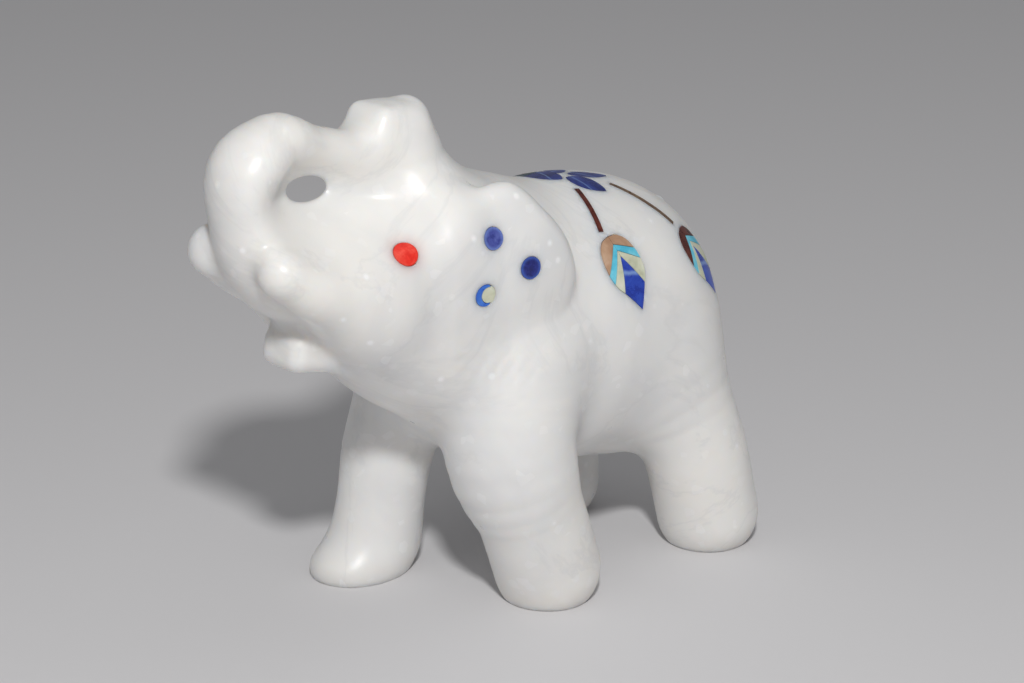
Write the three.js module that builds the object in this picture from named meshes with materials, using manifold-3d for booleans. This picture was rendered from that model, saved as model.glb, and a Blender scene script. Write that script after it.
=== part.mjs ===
// A small standing elephant with its trunk raised, carved from one block of white marble,
// with cut coloured stones let into it: the eyes, three dots on each ear, and a flower with
// four hanging buds over the back. Millimetres, +Z up, the head towards -X, the animal's
// left side towards -Y, and the origin on the floor under the middle of the bounding box.
import * as THREE from "three";
import { mergeVertices } from "three/addons/utils/BufferGeometryUtils.js";
import Module from "manifold-3d";

const wasm = await Module();
wasm.setup();

// Driving dimensions
const height = 64;
const eyeWidth = 3;
const dotWidth = 2.7;
const budLength = 9.6;
const budWidth = 5.9;
const petalWidth = 3.2;
const stemWidth = 0.7;
// How deep the stones sit, the thin slices of the flower and its stems less deep, and the cement
// seam round each stone
const stoneDepth = 1.6;
const sliceDepth = 0.9;
const seam = 0.2;

// The figure is drawn in its own units, 64 of them to its height, from the point between its feet.
const u = height / 64;
const at = (x, y, z) => new THREE.Vector3(x, y, z).multiplyScalar(u);

// Shapes: each is a function of a point that is negative inside, and about the distance in mm

const upright = new THREE.Matrix4();
// The turn that lays a shape's z along one direction, with its y as near as can be to another
function lay(along, facing) {
  const z = new THREE.Vector3(...along).normalize();
  const y = new THREE.Vector3(...facing).normalize();
  y.addScaledVector(z, -y.dot(z)).normalize();
  return new THREE.Matrix4().makeBasis(y.clone().cross(z), y, z);
}

function local(centre, turn) {
  const back = turn.clone().transpose().elements;
  return (x, y, z, out) => {
    x -= centre.x;
    y -= centre.y;
    z -= centre.z;
    out[0] = back[0] * x + back[4] * y + back[8] * z;
    out[1] = back[1] * x + back[5] * y + back[9] * z;
    out[2] = back[2] * x + back[6] * y + back[10] * z;
  };
}

function ellipsoid(centre, rx, ry, rz, turn = upright) {
  const [qx, qy, qz] = [rx * u, ry * u, rz * u];
  const place = local(centre, turn);
  const p = [0, 0, 0];
  return (x, y, z) => {
    place(x, y, z, p);
    const [a, b, c] = [p[0] / qx, p[1] / qy, p[2] / qz];
    const k0 = Math.sqrt(a * a + b * b + c * c) + 1e-9;
    const k1 = Math.sqrt((a / qx) ** 2 + (b / qy) ** 2 + (c / qz) ** 2) + 1e-9;
    return (k0 * (k0 - 1)) / k1;
  };
}

// A flap: a plate 2 * half thick with a round rim, bent back like a bowl's wall; its outline is a
// loop through points of its own plane
function flap(centre, loop, half, bend, turn) {
  [half, bend] = [half * u, bend * u];
  const place = local(centre, turn);
  const p = [0, 0, 0];
  const knots = loop.map(([a, b]) => new THREE.Vector3(a * u, b * u, 0));
  const rim = new THREE.CatmullRomCurve3(knots, true, "centripetal").getPoints(3 * loop.length);
  const reach = Math.max(...rim.map((q) => q.length()));
  const round = half * 0.95;
  return (x, y, z) => {
    place(x, y, z, p);
    const away = Math.hypot(p[0], p[1], p[2]) - reach;
    if (away > 6 * u) return away;
    let side = Infinity;
    let inside = false;
    for (let i = 1; i < rim.length; i++) {
      const [q, r] = [rim[i - 1], rim[i]];
      const [dx, dy, ex, ey] = [r.x - q.x, r.y - q.y, p[0] - q.x, p[2] - q.y];
      const t = Math.max(0, Math.min(1, (ex * dx + ey * dy) / (dx * dx + dy * dy)));
      side = Math.min(side, (ex - t * dx) ** 2 + (ey - t * dy) ** 2);
      if (q.y > p[2] !== r.y > p[2] && ex < (ey * dx) / dy) inside = !inside;
    }
    side = (inside ? -1 : 1) * Math.sqrt(side) + round;
    const face = Math.abs(p[1] + (p[0] ** 2 + p[2] ** 2) / (2 * bend)) - half + round;
    return Math.min(Math.max(side, face), 0) + Math.hypot(Math.max(side, 0), Math.max(face, 0)) - round;
  };
}

// A limb: round, along a smooth path through [x, y, z, radius]; wide stretches it across the body
function limb(stations, wide = 1, steps = 3) {
  const path = new THREE.CatmullRomCurve3(
    stations.map(([x, y, z]) => at(x, y / wide, z)), false, "centripetal");
  const last = stations.length - 1;
  const beads = [];
  for (let i = 0; i <= last * steps; i++) {
    const t = i / (last * steps);
    const c = path.getPoint(t);
    const s = Math.min(t * last, last - 1e-9);
    const f = s - Math.floor(s);
    const g = f * f * (3 - 2 * f);
    const [r0, r1] = [stations[Math.floor(s)][3], stations[Math.floor(s) + 1][3]];
    beads.push([c.x, c.y, c.z, (r0 * (1 - g) + r1 * g) * u]);
  }
  const ball = new THREE.Sphere().setFromPoints(beads.map((b) => new THREE.Vector3(...b.slice(0, 3))));
  const reach = ball.radius + Math.max(...beads.map((b) => b[3]));
  return (x, y, z) => {
    y /= wide;
    const away = Math.hypot(x - ball.center.x, y - ball.center.y, z - ball.center.z) - reach;
    if (away > 9 * u) return away;
    let best = Infinity;
    for (let i = 1; i < beads.length; i++) {
      const [a, b] = [beads[i - 1], beads[i]];
      const [dx, dy, dz] = [b[0] - a[0], b[1] - a[1], b[2] - a[2]];
      let t = ((x - a[0]) * dx + (y - a[1]) * dy + (z - a[2]) * dz) / (dx * dx + dy * dy + dz * dz);
      t = Math.max(0, Math.min(1, t));
      const [ex, ey, ez] = [x - a[0] - t * dx, y - a[1] - t * dy, z - a[2] - t * dz];
      best = Math.min(best, Math.sqrt(ex * ex + ey * ey + ez * ez) - a[3] - t * (b[3] - a[3]));
    }
    return best;
  };
}

function block(centre, hx, hy, hz, round, turn = upright) {
  const half = [hx, hy, hz].map((h) => (h - round) * u);
  const place = local(centre, turn);
  const p = [0, 0, 0];
  return (x, y, z) => {
    place(x, y, z, p);
    const [a, b, c] = p.map((v, q) => Math.abs(v) - half[q]);
    const out = Math.hypot(Math.max(a, 0), Math.max(b, 0), Math.max(c, 0));
    return out + Math.min(Math.max(a, b, c), 0) - round * u;
  };
}

// Joins and cuts with a rounded seam of about k mm
const blend = (a, b, k) => {
  const h = Math.max(k - Math.abs(a - b), 0) / k;
  return Math.min(a, b) - h * h * k * 0.25;
};
const carve = (a, b, k) => -blend(-a, b, k);
const mirrored = (shape) => (x, y, z) => shape(x, -y, z);
const pair = (shape) => [shape, mirrored(shape)];

// The elephant

const torso = [
  ellipsoid(at(0, 0, 30.8), 21, 15.6, 17.8),
  ellipsoid(at(10, 0, 28.2), 13.1, 15.3, 16.7),
  ellipsoid(at(-12, 0, 33.3), 13, 12.8, 15.5),
];
const chest = ellipsoid(at(-22, 0, 32.6), 9, 10.8, 7.8);
const neck = ellipsoid(at(-16, 0, 41), 12, 11.5, 10.4);
const head = ellipsoid(at(-28, 0, 45), 10.5, 10.2, 9.5);
const cheeks = pair(ellipsoid(at(-29.8, -5.4, 39.8), 8.2, 5.7, 6.9));
const temples = pair(ellipsoid(at(-22.5, -4.5, 47.2), 8.5, 7.2, 6.6));
const trunk = limb([
  [-34, 0, 45.5, 7.5], [-39.8, 0, 45.2, 5.4], [-43.7, 0, 47.7, 4.7], [-45.7, 0, 52.3, 4.4],
  [-45.5, 0, 57.5, 4.9], [-42.4, 0, 60.1, 3.9], [-37, 0, 58.7, 3.1], [-31.4, 0, 56.2, 3.6],
], 1.12);
const tip = limb([[-23.3, 0, 51, 6.5], [-23.7, 0, 55.5, 5.1], [-24.1, 0, 57.5, 4.6]]);
// What slopes down backwards
const sloping = lay([0.24, 0, 1], [0, 1, 0]);
const tipLip = block(at(-25.9, 0.3, 59.1), 3.3, 3.4, 2.9, 1.4, sloping);
const tipFinger = ellipsoid(at(-22, 0.2, 60.9), 1.3, 2.3, 1.5);
const web = ellipsoid(at(-38, 0, 50.8), 9.5, 5.6, 8);
const tusks = pair(limb([[-34.5, -6, 41.8, 4.4], [-41, -6.5, 44.8, 3.7], [-46.1, -6, 48, 3.1]]));
const jaw = block(at(-35.2, 0, 35.1), 7.4, 3.4, 2.3, 1.7, sloping);
const throat = ellipsoid(at(-28.3, 0, 36.8), 8.8, 8.4, 5.8);
const palate = ellipsoid(at(-35.6, 0, 39.5), 6, 4, 4);
const ears = pair(flap(at(-20, -11.8, 43), [
  [-2.9, 10.3], [-6.9, 6.9], [-10.2, 2.5], [-11.4, -2.4], [-9.6, -5.8], [-4.7, -7.2],
  [-1.3, -9.6], [1.8, -11.8], [5, -11], [8, -4], [8, 3], [4, 8.5],
], 1.4, 20, lay([0, 0, 1], [-0.36, -0.9, 0.22])));
const legs = [
  limb([[-13, -7.5, 30, 8.5], [-15.2, -9.5, 20, 7.8], [-12.4, -10.4, 11, 6.5], [-9.4, -9.9, 3.8, 6.5]]),
  limb([[-13, 7.5, 29, 7], [-16.6, 10, 17, 5.7], [-17.6, 10.8, 9, 5.4], [-18, 11.3, 4.6, 5.6]]),
  limb([[10.5, -7, 27, 8.2], [14.6, -10.6, 15, 6.5], [17.6, -11.2, 4, 6.4]]),
  limb([[11, 7.5, 28, 8.5], [11, 10.3, 14, 6], [11, 10.3, 4, 6.3]]),
  ellipsoid(at(-21.2, 11.6, 0.8), 5.9, 5.4, 3.8),
];
const tail = limb([[19, 0, 41, 1.3], [22.2, 0.6, 35, 1.4], [23.7, 1.6, 28, 1.3], [22.7, 2.6, 21, 1.8]]);
// The through hole behind the trunk, ground as a long bowl from each side
const bowls = pair(ellipsoid(at(-37.6, -14.2, 54.5), 11, 14.3, 5, lay([0.12, 0, 1], [0, 1, 0])));
// On the right side it runs on backwards as a hollow behind the brow
const hollow = ellipsoid(at(-28, 9.5, 51.2), 8, 6, 2.6, lay([0.45, 0, 1], [0, 1, 0]));

function figure(x, y, z) {
  let body = Infinity;
  for (const f of torso) body = blend(body, f(x, y, z), 4 * u);
  for (const f of legs) body = blend(body, f(x, y, z), 3 * u);
  body = blend(body, neck(x, y, z), 6 * u);
  body = blend(body, chest(x, y, z), 4 * u);
  body = blend(body, tail(x, y, z), 0.8 * u);
  let face = blend(head(x, y, z), trunk(x, y, z), 6 * u);
  for (const f of [...cheeks, ...temples]) face = blend(face, f(x, y, z), 4 * u);
  face = blend(face, throat(x, y, z), 3 * u);
  face = blend(face, palate(x, y, z), 1.5 * u);
  face = blend(face, web(x, y, z), 3.5 * u);
  const end = blend(blend(tip(x, y, z), tipLip(x, y, z), 2.5 * u), tipFinger(x, y, z), 1.2 * u);
  face = blend(face, end, 3.5 * u);
  // The tusks stand crisp at their ends and melt into the cheeks at their roots
  const root = Math.max(0, Math.min(1, (x + 47 * u) / (9 * u)));
  for (const f of tusks) face = blend(face, f(x, y, z), (1.4 + 3 * root) * u);
  face = blend(face, jaw(x, y, z), 1.5 * u);
  let all = blend(body, face, 5 * u);
  // The ears melt into the head in front and stand clear of the neck behind
  const front = Math.max(0, Math.min(1, (-19 * u - x) / (7 * u)));
  for (const f of ears) all = blend(all, f(x, y, z), (0.9 + 4.5 * front) * u);
  // The left bowl has the softer rim
  [...bowls, hollow].forEach((f, i) => {
    all = carve(all, f(x, y, z), (i ? 1.5 : 4.5) * u);
  });
  return all;
}

// The value of a shape at a point, and the way in which it grows
function slope(shape, x, y, z) {
  const d = shape(x, y, z);
  const e = 0.02;
  return [d, (shape(x + e, y, z) - d) / e, (shape(x, y + e, z) - d) / e, (shape(x, y, z + e) - d) / e];
}

// The skin of a shape as a closed mesh of small quads, from a grid of planes along each axis: one
// point in each cell that the surface crosses, moved onto the surface, and one quad round each
// grid edge that it crosses
function skin(shape, planes) {
  const [nx, ny, nz] = planes.map((p) => p.length);
  const id = (i, j, k) => (k * ny + j) * nx + i;
  const value = new Float32Array(nx * ny * nz);
  const everywhere = (from, do_) => {
    for (let k = from; k < nz - 1; k++)
      for (let j = from; j < ny - 1; j++)
        for (let i = from; i < nx - 1; i++) do_(i, j, k);
  };
  value.fill(1);
  everywhere(1, (i, j, k) => {
    value[id(i, j, k)] = shape(planes[0][i], planes[1][j], planes[2][k]);
  });
  // Where the corners of a grid square lie in and out by turns, the nearest one changes sides
  const step = [1, nx, nx * ny];
  for (let pass = 0; pass < 4; pass++)
    everywhere(0, (i, j, k) => {
      for (let q = 0; q < 3; q++) {
        const [r, s] = [step[(q + 1) % 3], step[(q + 2) % 3]];
        const o = id(i, j, k);
        const four = [o, o + r, o + r + s, o + s];
        const [a, b, c, d] = four.map((n) => value[n] < 0);
        if (a !== c || b !== d || a === b) continue;
        const least = four.reduce((m, n) => (Math.abs(value[n]) < Math.abs(value[m]) ? n : m));
        value[least] *= -1;
      }
    });
  const corners = [0, 1, 2, 3, 4, 5, 6, 7].map((c) => [c & 1, (c >> 1) & 1, (c >> 2) & 1]);
  const edges = [];
  for (let a = 0; a < 8; a++) for (const b of [1, 2, 4]) if (!(a & b)) edges.push([a, a | b]);
  const points = [];
  const own = new Map();
  everywhere(0, (i, j, k) => {
    const v = corners.map(([a, b, c]) => value[id(i + a, j + b, k + c)]);
    const sum = [0, 0, 0];
    let crossed = 0;
    for (const [a, b] of edges) {
      if (v[a] < 0 === v[b] < 0) continue;
      const t = v[a] / (v[a] - v[b]);
      for (let q = 0; q < 3; q++) sum[q] += corners[a][q] + t * (corners[b][q] - corners[a][q]);
      crossed++;
    }
    if (!crossed) return;
    own.set(id(i, j, k), points.length);
    const p = [i, j, k].map((m, q) => {
      const [low, high] = [planes[q][m], planes[q][m + 1]];
      return low + (sum[q] / crossed) * (high - low);
    });
    points.push(p);
  });
  const index = [];
  const gap = (a, b) => Math.hypot(...points[a].map((v, q) => v - points[b][q]));
  everywhere(1, (i, j, k) => {
    const o = id(i, j, k);
    for (let q = 0; q < 3; q++) {
      const inside = value[o] < 0;
      if (inside === value[o + step[q]] < 0) continue;
      const [r, s] = [step[(q + 1) % 3], step[(q + 2) % 3]];
      const [a, b, c, d] = [o, o - r, o - r - s, o - s].map((cell) => own.get(cell));
      const two = gap(a, c) < gap(b, d) ? [a, b, c, a, c, d] : [b, c, d, b, d, a];
      index.push(...(inside ? two : two.reverse()));
    }
  });
  // Each point slides along the surface towards the middle of its neighbours, and back onto it
  const near = points.map(() => new Set());
  for (let i = 0; i < index.length; i += 3)
    for (const [a, b] of [[0, 1], [1, 2], [2, 0]]) {
      near[index[i + a]].add(index[i + b]);
      near[index[i + b]].add(index[i + a]);
    }
  for (let pass = 0; pass < 6; pass++)
    points.forEach((p, i) => {
      if (pass) {
        const [, ...g] = slope(shape, ...p);
        const way = [0, 1, 2].map((q) => {
          let sum = 0;
          for (const j of near[i]) sum += points[j][q];
          return 0.5 * (sum / near[i].size - p[q]);
        });
        const rise = (way[0] * g[0] + way[1] * g[1] + way[2] * g[2]) / (g[0] ** 2 + g[1] ** 2 + g[2] ** 2 || 1);
        for (let q = 0; q < 3; q++) p[q] += way[q] - rise * g[q];
      }
      for (let turn = 0; turn < 2; turn++) {
        const [d, ...g] = slope(shape, ...p);
        const move = Math.max(-0.5, Math.min(0.5, d / (g[0] ** 2 + g[1] ** 2 + g[2] ** 2 || 1)));
        for (let q = 0; q < 3; q++) p[q] -= move * g[q];
      }
    });
  return { points, index };
}

// Planes from low to high, close together before the turn and further apart after it
function spaced(low, high, turn, before, after) {
  const marks = [low * u];
  while (marks.at(-1) < high * u) marks.push(marks.at(-1) + (marks.at(-1) < turn * u ? before : after) * u);
  return marks;
}

// Solids

function solid(positions, index) {
  return new wasm.Manifold(new wasm.Mesh({
    numProp: 3,
    vertProperties: new Float32Array(positions),
    triVerts: new Uint32Array(index),
  }));
}

function solidOf(geometry) {
  const bare = new THREE.BufferGeometry().setAttribute("position", geometry.getAttribute("position"));
  if (geometry.index) bare.setIndex(geometry.index);
  const merged = mergeVertices(bare, 1e-4);
  return solid(merged.getAttribute("position").array, merged.index.array);
}

const rough = skin(figure, [
  spaced(-54, 28, -28, 1.8, 2.9), spaced(-20.4, 20.4, 0, 2.4, 2.4), spaced(-6, 67, 31, 2.95, 1.95),
]);
// The soles are ground flat on the floor
const above = new THREE.BoxGeometry(200 * u, 200 * u, 100 * u).translate(0, 0, 50 * u);
let marble = solid(rough.points.flat(), rough.index).intersect(solidOf(above));

// Stones

// The point of the skin next to a point of the figure, and the way out of the marble there
function seat(x, y, z) {
  const p = at(x, y, z);
  let g;
  for (let pass = 0; pass < 12; pass++) {
    const [d, ...way] = slope(figure, p.x, p.y, p.z);
    g = new THREE.Vector3(...way);
    p.addScaledVector(g, -d / g.lengthSq());
  }
  return { p, out: g.normalize() };
}

// A flat frame on the skin: its second axis runs towards another point, its third points outwards
function bed(centre, toward) {
  const { p, out } = seat(...centre);
  const along = seat(...toward).p.sub(p);
  along.addScaledVector(out, -along.dot(out)).normalize();
  return new THREE.Matrix4().makeBasis(along.clone().cross(out), along, out).setPosition(p);
}

const across = new THREE.Matrix4().makeScale(1, -1, 1);
const turned = new THREE.Matrix4().makeScale(-1, 1, 1);
const onRight = (frame) => across.clone().multiply(frame).multiply(turned);

// An outline moved outwards by a distance, or inwards by a negative one
function grow(outline, by) {
  const n = outline.length;
  let area = 0;
  outline.forEach(([x, y], i) => {
    const [qx, qy] = outline[(i + 1) % n];
    area += x * qy - qx * y;
  });
  const way = Math.sign(area);
  return outline.map(([x, y], i) => {
    const [px, py] = outline[(i + n - 1) % n];
    const [qx, qy] = outline[(i + 1) % n];
    const [a, b] = [Math.hypot(x - px, y - py), Math.hypot(qx - x, qy - y)];
    const n1 = [(way * (y - py)) / a, (-way * (x - px)) / a];
    const n2 = [(way * (qy - y)) / b, (-way * (qx - x)) / b];
    const k = by / Math.max(0.22, 1 + n1[0] * n2[0] + n1[1] * n2[1]);
    return [x + k * (n1[0] + n2[0]), y + k * (n1[1] + n2[1])];
  });
}

function prism(outline, frame, from, to) {
  const shape = new THREE.Shape(outline.map(([a, b]) => new THREE.Vector2(a, b)));
  const geometry = new THREE.ExtrudeGeometry(shape, { depth: to - from, bevelEnabled: false });
  return solidOf(geometry.translate(0, 0, from).applyMatrix4(frame));
}

const above_skin = 2.5;
const stones = [];
const pockets = [];
// One stone or more in one pocket, on the left side, the right side or both; a stone that would
// reach into one of the earlier pockets is cut back from it
function inlay(frame, pieces, hollow, sides = ["left", "right"], depth = stoneDepth, earlier = []) {
  for (const side of sides) {
    const place = side === "left" ? frame : onRight(frame);
    const seen = (outline) => (side === "left" ? outline : outline.map(([a, b]) => [-a, b]));
    for (const [name, colour, outline] of pieces) {
      let cut = prism(seen(grow(outline, -seam / 2)), place, -depth, above_skin).intersect(marble);
      for (const pocket of earlier) cut = cut.subtract(pocket);
      stones.push([name.replace("SIDE", side), colour, cut]);
    }
    pockets.push(prism(seen(grow(hollow, seam / 2)), place, -depth - seam, above_skin));
  }
}

const disc = (r, sides = 11) => Array.from({ length: sides }, (_, i) => {
  const t = ((i + 0.5) / sides) * 2 * Math.PI;
  return [r * Math.cos(t), r * Math.sin(t)];
});

// Eyes
const eye = bed([-31.6, -9.8, 48], [-32, -10.3, 46.5]);
inlay(eye, [["eye_SIDE", "red", disc(eyeWidth / 2)]], disc(eyeWidth / 2));

// Ear dots: the lowest one on the left ear is worn to a crescent, with a pale filling in its mouth
const dot = disc(dotWidth / 2);
const upperDot = bed([-20.8, -12.6, 48], [-20.8, -12.6, 46]);
const rearDot = bed([-16.4, -14.2, 43.9], [-16.4, -14.2, 42]);
const lowerDot = bed([-22.3, -12.9, 41.6], [-22.3, -12.9, 40]);
inlay(upperDot, [["ear_dot_upper_SIDE", "blue", dot]], dot);
inlay(rearDot, [["ear_dot_rear_SIDE", "navy", dot]], dot);
inlay(lowerDot, [["ear_dot_lower_SIDE", "blue", dot]], dot, ["right"]);
const arc = (r, from, to, shift, steps) => Array.from({ length: steps + 1 }, (_, i) => {
  const t = ((from + ((to - from) * i) / steps) * Math.PI) / 180;
  return [shift + r * Math.cos(t), r * Math.sin(t)];
});
const bite = dotWidth * 0.16;
const outer = arc(dotWidth / 2, -112, 112, 0, 9);
const inner = arc(dotWidth * 0.36, 106, -106, -bite, 7);
const rest = arc(dotWidth / 2, 130, 230, 0, 5);
inlay(lowerDot, [
  ["ear_crescent_left", "blue", [...outer, ...inner]],
  ["ear_crescent_filling_left", "cream", [...rest, ...inner.slice().reverse()]],
], dot, ["left"]);

// Buds: an oval leaf in nested chevrons round a kite, the stem's end at the top of its frame
const [hw, bl] = [budWidth / 2, budLength];
const tanTop = 0.115 * bl;
const turquoiseTop = 0.205 * bl;
const creamTop = 0.28 * bl;
const rim = [
  [0, 0], [0.46, 0.03], [0.8, 0.13], [0.97, 0.28], [1, 0.43], [0.93, 0.56], [0.8, 0.645], [0.62, 0.715],
  [0, 1],
].map(([a, b]) => [a * hw, b * bl]);
const flip = (outline) => outline.map(([a, b]) => [-a, b]);
// One side's strips, where the arch ends at one point of the rim and the turquoise at another
const strips = (archEnd, turquoiseEnd) => [
  [...rim.slice(0, archEnd + 1), [0, tanTop]],
  [[0, tanTop], ...rim.slice(archEnd, turquoiseEnd + 1), [0, turquoiseTop]],
  [[0, turquoiseTop], ...rim.slice(turquoiseEnd, 8), [0, creamTop]],
];
const frontStrips = strips(4, 5);
const rearStrips = strips(3, 4).map(flip);
const kite = [[0, creamTop], rim[7], [0, bl], [-rim[7][0], rim[7][1]]];
const wholeBud = [...rim.slice(0, 8), [0.12 * hw, 0.99 * bl], [-0.12 * hw, 0.99 * bl], ...flip(rim.slice(1, 8)).reverse()];

function bud(name, arch, top, middle, end) {
  const lying = bed(middle, end);
  const head = seat(...top).p.applyMatrix4(lying.clone().invert());
  const foot = seat(...end).p.applyMatrix4(lying.clone().invert());
  const lean = Math.atan2(foot.x - head.x, foot.y - head.y);
  const place = ([a, b]) => [
    (head.x + foot.x) / 2 + a * Math.cos(lean) + (b - bl / 2) * Math.sin(lean),
    (head.y + foot.y) / 2 - a * Math.sin(lean) + (b - bl / 2) * Math.cos(lean),
  ];
  const pieces = [[name + "_kite_SIDE", "lapis", kite.map(place)]];
  ["brown", "turquoise", "cream"].forEach((layer, i) => {
    const colour = i ? layer : arch;
    pieces.push([name + "_" + layer + "_front_SIDE", colour, frontStrips[i].map(place)]);
    pieces.push([name + "_" + layer + "_rear_SIDE", colour, rearStrips[i].map(place)]);
  });
  inlay(lying, pieces, wholeBud.map(place), ["left", "right"], stoneDepth * 1.35);
}
bud("flank_bud", "tan", [-0.5, -10.9, 43.5], [-0.2, -13.3, 39.8], [1.2, -15.1, 35.1]);
bud("rump_bud", "brown", [12.9, -9.8, 41.5], [14.9, -12.1, 37.5], [17, -13.2, 33.1]);

// Stems: thin strips along the skin
function strip(frame, stations) {
  const flat = stations.map((s) => seat(...s).p.applyMatrix4(frame.clone().invert()));
  const path = new THREE.SplineCurve(flat.map((p) => new THREE.Vector2(p.x, p.y)));
  const [one, two] = [[], []];
  const steps = stations.length > 2 ? 5 : 1;
  for (let i = 0; i <= steps; i++) {
    const p = path.getPoint(i / steps);
    const t = path.getTangent(i / steps).multiplyScalar(stemWidth / 2);
    one.push([p.x + t.y, p.y - t.x]);
    two.unshift([p.x - t.y, p.y + t.x]);
  }
  return [...one, ...two];
}
const flankStem = bed([-0.2, -7.6, 46.4], [-1, -10.3, 44.1]);
const flankStrip = strip(flankStem, [[0.7, -4.4, 47.8], [-1, -10.3, 44.1]]);
inlay(flankStem, [["flank_stem_SIDE", "brown", flankStrip]], flankStrip, ["left", "right"], sliceDepth);
const rumpStem = bed([10, -7.1, 44.6], [12.3, -9.4, 42.1]);
const rumpStrip = strip(rumpStem, [[7, -3.8, 47], [9.6, -6.8, 44.9], [11.5, -8.7, 43], [12.3, -9.4, 42.1]]);
inlay(rumpStem, [["rump_stem_SIDE", "brown", rumpStrip]], rumpStrip, ["left", "right"], sliceDepth);

// Petals: leaves lying on the top of the back, in a fan that opens backwards from its middle
const leaf = (from, to, wide, length) => {
  const points = [];
  const half = (t) => (wide / 2) * Math.max(0, Math.sin(Math.PI * t ** 0.85)) ** 0.75;
  for (let i = 0; i <= 6; i++) {
    const t = from + ((to - from) * i) / 6;
    points.push([half(t), t * length]);
  }
  for (let i = 6; i >= 0; i--) {
    const t = from + ((to - from) * i) / 6;
    points.push([-half(t), t * length]);
  }
  return points.filter(([a, b], i) => !(i > 6 && Math.abs(a) < 1e-6));
};

function petal(name, base, end, wide, tipShare) {
  const middle = base.map((v, i) => (v + end[i]) / 2);
  const frame = bed(middle, end);
  const inverse = frame.clone().invert();
  const [root, point] = [base, end].map((p) => seat(...p).p.applyMatrix4(inverse));
  const length = point.y - root.y;
  const place = ([a, b]) => [a + root.x + ((point.x - root.x) * b) / length, root.y + b];
  const whole = leaf(0, 1, wide, length).map(place);
  const pieces = tipShare
    ? [
      [name, "lapis", leaf(0, 1 - tipShare, wide, length).map(place)],
      [name + "_tip", "teal", leaf(1 - tipShare, 1, wide, length).map(place)],
    ]
    : [[name, "lapis", whole]];
  inlay(frame, pieces, whole, ["left"], sliceDepth, pockets.slice(beforePetals));
}
const beforePetals = pockets.length;
petal("petal_front_right", [0.8, -1.9, 48.5], [-1.4, 4.9, 47.6], petalWidth * 1.25, 0.4);
petal("petal_rear_left", [1.7, -1.6, 48.4], [4.8, -5.4, 46.9], petalWidth * 1.1, 0);
petal("petal_rear", [2.9, -0.7, 48.3], [9, -1.2, 46.9], petalWidth * 0.75, 0);
petal("petal_rear_right", [2, 0.2, 48.5], [5.2, 4.4, 47.1], petalWidth * 0.85, 0);

for (const pocket of pockets) marble = marble.subtract(pocket);

// The finished group

const finish = {
  marble: ["#f1efea", 0.25],
  red: ["#d92b1e", 0.3],
  blue: ["#3346ad", 0.25],
  navy: ["#1d2780", 0.25],
  lapis: ["#2f4db8", 0.3],
  teal: ["#143a48", 0.3],
  turquoise: ["#5cc9e8", 0.35],
  cream: ["#dcdcc4", 0.35],
  tan: ["#c29b80", 0.35],
  brown: ["#52190f", 0.35],
};
const box = marble.boundingBox();
const middle = [(box.min[0] + box.max[0]) / 2, (box.min[1] + box.max[1]) / 2];
const group = new THREE.Group();
function add(name, colour, made) {
  const mesh = made.getMesh();
  const geometry = new THREE.BufferGeometry()
    .setAttribute("position", new THREE.BufferAttribute(mesh.vertProperties, 3))
    .setIndex(new THREE.BufferAttribute(mesh.triVerts, 1))
    .translate(-middle[0], -middle[1], 0);
  geometry.computeVertexNormals();
  const [hex, roughness] = finish[colour];
  const piece = new THREE.Mesh(geometry, new THREE.MeshStandardMaterial({ color: hex, roughness }));
  piece.name = name;
  group.add(piece);
}
add("marble_elephant", "marble", marble);
for (const [name, colour, made] of stones) add(name, colour, made);

export default group;
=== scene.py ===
# %% [markdown]
# # A marble elephant with inlaid stones
# The real thing is a palm-sized elephant, carved from one block of white marble and polished.
# Small cut stones are let flush into it. A carver works from a block down to a skin, so this
# lesson does the same: a formula says for every point of space whether it is marble or air, a
# mesh is grown over that formula, and the stones take their tops from the same formula.

# %% The frame, and the units
import math

import bpy
import numpy as np
from mathutils import Matrix, Vector
from mathutils.geometry import delaunay_2d_cdt


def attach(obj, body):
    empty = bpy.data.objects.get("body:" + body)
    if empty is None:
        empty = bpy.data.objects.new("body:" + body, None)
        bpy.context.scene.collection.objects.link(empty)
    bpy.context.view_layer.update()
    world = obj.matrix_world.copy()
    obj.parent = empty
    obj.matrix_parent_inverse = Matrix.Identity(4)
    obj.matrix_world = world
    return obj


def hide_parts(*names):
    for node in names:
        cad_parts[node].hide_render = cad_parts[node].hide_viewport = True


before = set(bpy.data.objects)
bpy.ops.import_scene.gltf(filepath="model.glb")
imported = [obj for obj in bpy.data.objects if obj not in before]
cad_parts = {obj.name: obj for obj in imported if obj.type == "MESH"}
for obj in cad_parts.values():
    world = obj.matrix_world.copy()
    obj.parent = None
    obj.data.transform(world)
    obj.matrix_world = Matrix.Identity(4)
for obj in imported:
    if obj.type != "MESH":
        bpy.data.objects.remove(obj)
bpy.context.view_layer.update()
MM = 0.001

# %% [markdown]
# ## Shapes as formulas
# Each shape is a function of many points at once. It gives about the distance to its surface in
# millimetres, and a negative number inside. Two shapes are joined by the lesser of their values.
# Near the place where they meet, a blend rounds the valley off, as a carver's file does. Metaballs
# could do this too, but a formula of our own can also be asked for the surface under a stone.

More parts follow.
